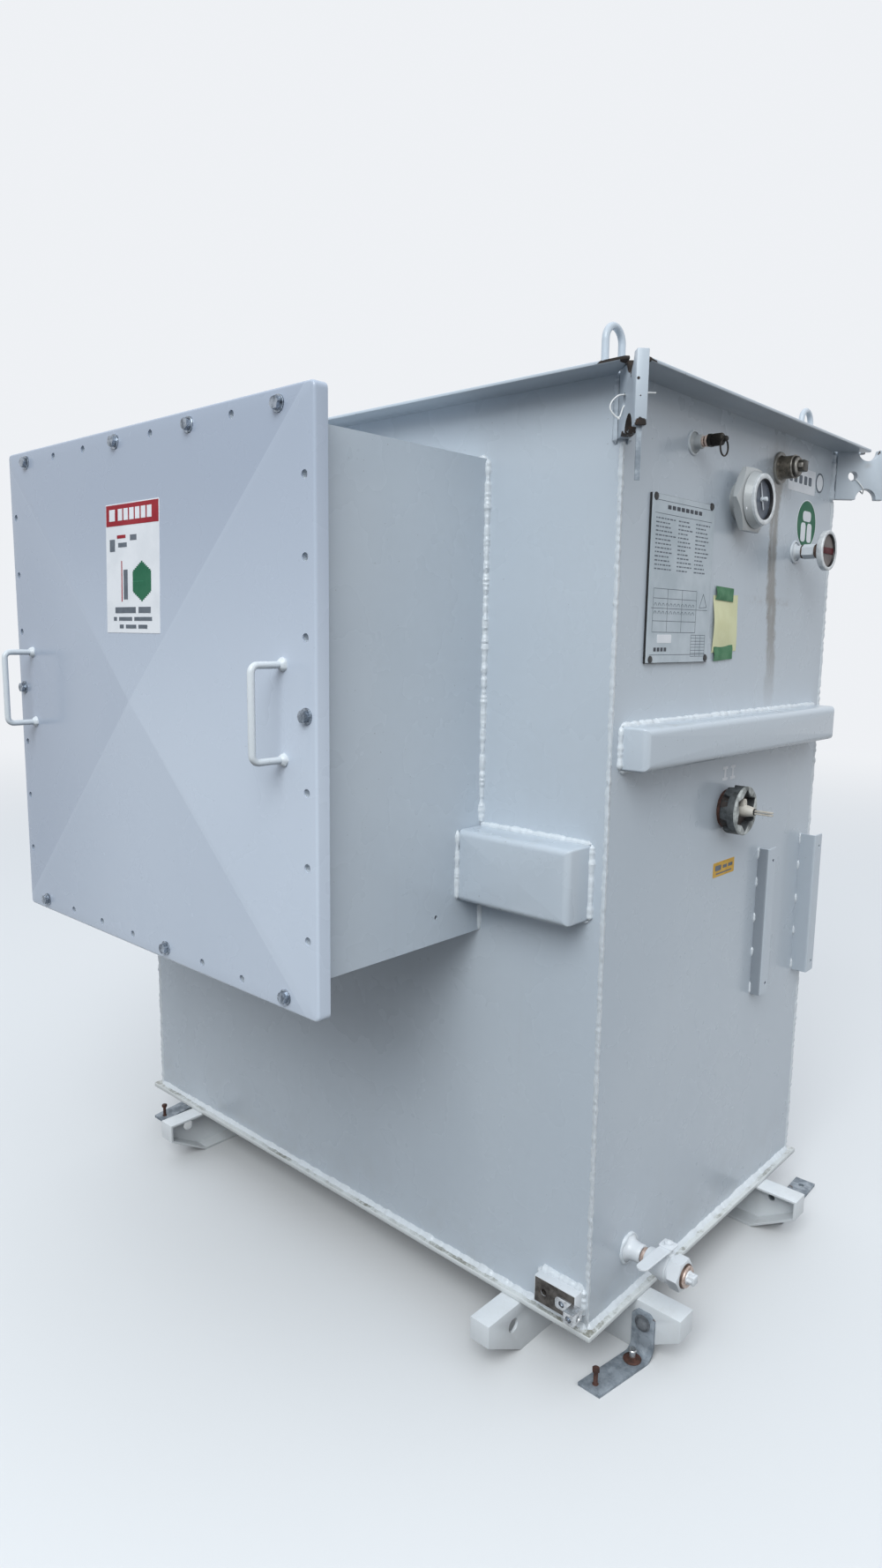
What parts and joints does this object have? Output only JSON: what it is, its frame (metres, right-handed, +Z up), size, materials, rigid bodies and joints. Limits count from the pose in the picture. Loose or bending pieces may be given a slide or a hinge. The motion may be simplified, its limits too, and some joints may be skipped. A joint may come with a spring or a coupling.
{
  "type": "substation transformer",
  "caption": "Liquid-filled transformer tank on skid channels with a bolted cable chamber, lifting lugs, end-wall gauges, drain valve and tap switch.",
  "frame": {"origin": "middle of the whole box, on the ground under the skids", "axes": "+Z up; the long front wall with the cable chamber faces -Y; the end wall with the gauges faces +X"},
  "size_m": [1.72, 1.533, 1.9294],
  "materials": {
    "paint": "gloss light grey enamel, dusty low down",
    "galvanised": "dull zinc",
    "dark_brass": "blackened",
    "dark_steel": "oily brown-black",
    "rusty_steel": "rusted",
    "bezel": "satin",
    "dial": "matt black",
    "pointer": "white",
    "float": "red",
    "switch_black": "worn black",
    "switch_cream": "cream",
    "plate": "etched, weathered",
    "core": "hidden"
  },
  "bodies": {
    "tank": {"tank_front_wall": "paint", "tank_back_wall": "paint", "tank_left_wall": "paint", "tank_right_wall": "paint", "base_plate": "paint", "tank_contents": "core", "lug_front_right": "paint", "lug_back_right": "paint", "lug_back_left": "paint", "lug_front_left": "paint", "tank_cover": "paint", "cover_loops": "paint", "chamber_side_walls": "paint", "chamber_top": "paint", "chamber_bottom": "paint", "gland_plate": "paint", "chamber_flange_rails": "paint", "chamber_flange_posts": "paint", "chamber_cover": "paint", "cover_handles": "paint", "front_stiffeners": "paint", "back_stiffener": "paint", "end_stiffeners": "paint", "cross_skids": "paint", "long_skids": "paint", "hold_down_angles": "galvanised", "ground_pad": "galvanised", "ground_clamp": "galvanised", "drain_coupling": "paint", "drain_valve_body": "paint", "drain_plug": "rusty_steel", "relief_coupling": "paint", "relief_valve": "dark_brass", "thermometer_mount": "paint", "thermometer_case": "paint", "thermometer_bezel": "bezel", "thermometer_pointer": "pointer", "fill_coupling": "dark_steel", "fill_plug": "dark_steel", "level_coupling": "paint", "level_head": "bezel", "level_float": "float", "switch_flange": "rusty_steel", "switch_ring": "switch_black", "box_angles": "paint", "nameplate": "plate", "lug_strip": "galvanised"},
    "drain_lever": {"drain_lever": "paint"},
    "switch_handle": {"switch_handle": "switch_cream"},
    "relief_ring": {"relief_ring": "dark_steel"}
  },
  "joints": [
    {"name": "drain_lever_turn", "type": "hinge", "parent": "tank", "child": "drain_lever", "pos_m": [0.8, -0.1092, 0.264], "axis": [0, 0, 1], "range_deg": [0, 90]},
    {"name": "switch_turn", "type": "hinge", "parent": "tank", "child": "switch_handle", "pos_m": [0.764, 0.1995, 1.062], "axis": [1, 0, 0], "range_deg": [0, 60]},
    {"name": "relief_ring_swing", "type": "hinge", "parent": "tank", "child": "relief_ring", "pos_m": [0.773, -0.0125, 1.757], "axis": [0, 1, 0], "range_deg": [-95, 25]}
  ]
}
